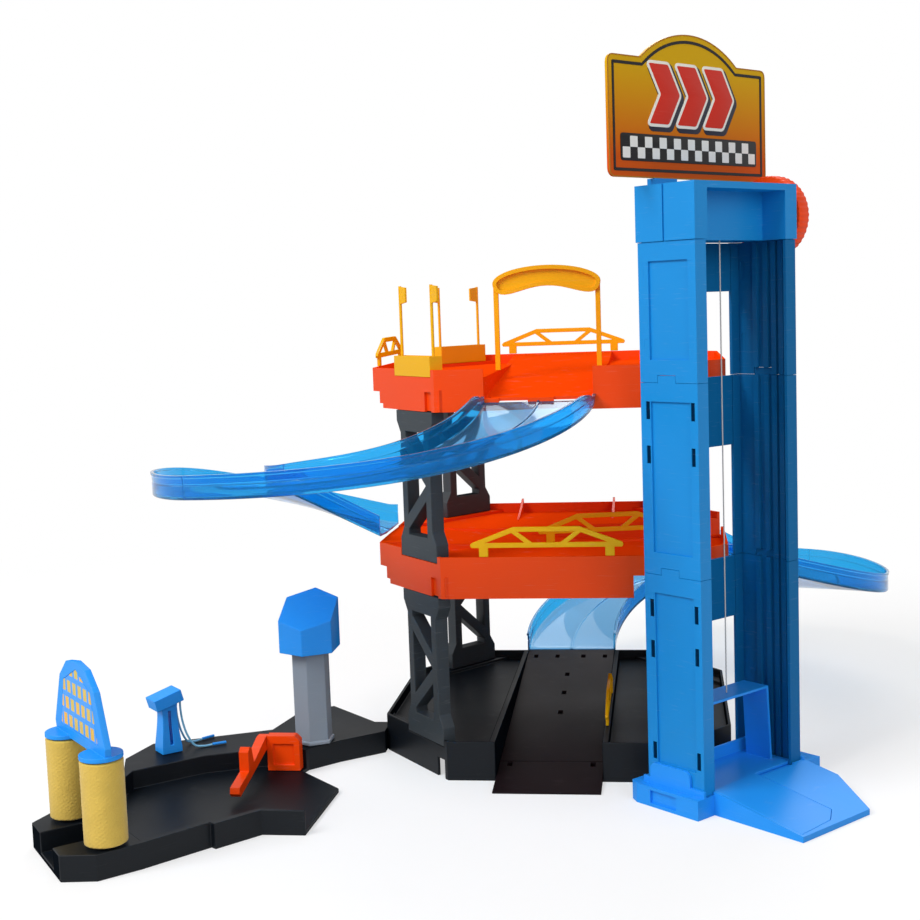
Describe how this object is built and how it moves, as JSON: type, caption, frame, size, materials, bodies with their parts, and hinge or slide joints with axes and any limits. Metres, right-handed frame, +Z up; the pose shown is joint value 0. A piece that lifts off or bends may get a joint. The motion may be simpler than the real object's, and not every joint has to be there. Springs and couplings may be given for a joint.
{
  "type": "toy garage",
  "caption": "Toy parking garage on three levels with a hand-cranked lift tower, falling car tracks, an exit ramp and a car wash and fuel station.",
  "frame": {"origin": "on the floor under the middle of the three stacked levels", "axes": "+X to the right and +Y to the back of the levels, +Z up"},
  "size_m": [0.6857, 0.7276, 0.5863],
  "materials": {
    "dark": "satin moulded, near black",
    "ramp": "satin moulded, brown black",
    "leg": "satin moulded, dark grey",
    "orange": "half gloss, orange",
    "blue": "half gloss, mid blue",
    "bright_blue": "half gloss, bright blue",
    "track": "clear tinted blue",
    "yellow": "half gloss, golden yellow",
    "foam": "fine foam, pale yellow",
    "grey": "satin, light grey",
    "sign": "printed sheet",
    "string": "twisted thread",
    "hose": "clear tinted tube",
    "steel": "plain"
  },
  "bodies": {
    "garage": {"barrier_pin": "steel", "barrier_post": "orange", "base_rail": "yellow", "exit_ramp": "ramp", "finish_arch": "yellow", "flag_stand_back_left": "yellow", "flag_stand_front": "yellow", "fuel_pump": "bright_blue", "garage_base": "dark", "kiosk_column": "grey", "kiosk_roof": "bright_blue", "lift_string": "string", "lower_leg_back_left": "leg", "lower_leg_back_right": "leg", "lower_leg_front": "leg", "lower_track_end": "track", "lower_track_start": "track", "mid_deck": "orange", "mid_front_rail": "yellow", "mid_inner_rail": "yellow", "nozzle_left": "bright_blue", "nozzle_right": "bright_blue", "pump_hose_left": "hose", "pump_hose_right": "hose", "roller_axle_left": "leg", "roller_axle_right": "leg", "sign_board": "sign", "station_base": "dark", "top_back_rail": "yellow", "top_deck": "orange", "top_left_rail": "yellow", "tower_back_lower": "blue", "tower_back_middle": "blue", "tower_back_upper": "blue", "tower_base": "bright_blue", "tower_cap": "bright_blue", "tower_left_lower": "blue", "tower_left_middle": "blue", "tower_left_upper": "blue", "tower_right_lower": "blue", "tower_right_middle": "blue", "tower_right_upper": "blue", "upper_leg_back_left": "leg", "upper_leg_back_right": "leg", "upper_leg_front": "leg", "upper_track_end": "track", "upper_track_start": "track", "wash_sign": "bright_blue", "wash_sign_panel": "yellow"},
    "lift": {"lift_platform": "bright_blue"},
    "crank": {"crank_wheel": "orange", "crank_spool": "grey"},
    "roller_left": {"wash_roller_left": "foam"},
    "roller_right": {"wash_roller_right": "foam"},
    "barrier": {"barrier_arm": "orange"}
  },
  "joints": [
    {"name": "lift_travel", "type": "slide", "parent": "garage", "child": "lift", "axis": [0, 0, 1], "range_m": [0, 0.319], "deforming": ["lift_string"]},
    {"name": "crank_spin", "type": "hinge", "parent": "garage", "child": "crank", "pos_m": [0.1, -0.21568, 0.4495], "axis": [-0.6691, -0.7431, 0], "range_deg": [0, 3656]},
    {"name": "roller_left_spin", "type": "hinge", "parent": "garage", "child": "roller_left", "pos_m": [-0.34559, -0.30625, 0.05], "axis": [0, 0, 1], "continuous": true},
    {"name": "roller_right_spin", "type": "hinge", "parent": "garage", "child": "roller_right", "pos_m": [-0.29741, -0.35975, 0.05], "axis": [0, 0, 1], "continuous": true},
    {"name": "barrier_swing", "type": "hinge", "parent": "garage", "child": "barrier", "pos_m": [-0.24105, -0.145, 0.027], "axis": [-1, 0, 0], "range_deg": [0, 80]}
  ],
  "couplings": [
    {"joint": "crank_spin", "follows": "lift_travel", "rad_per_m": 200}
  ]
}
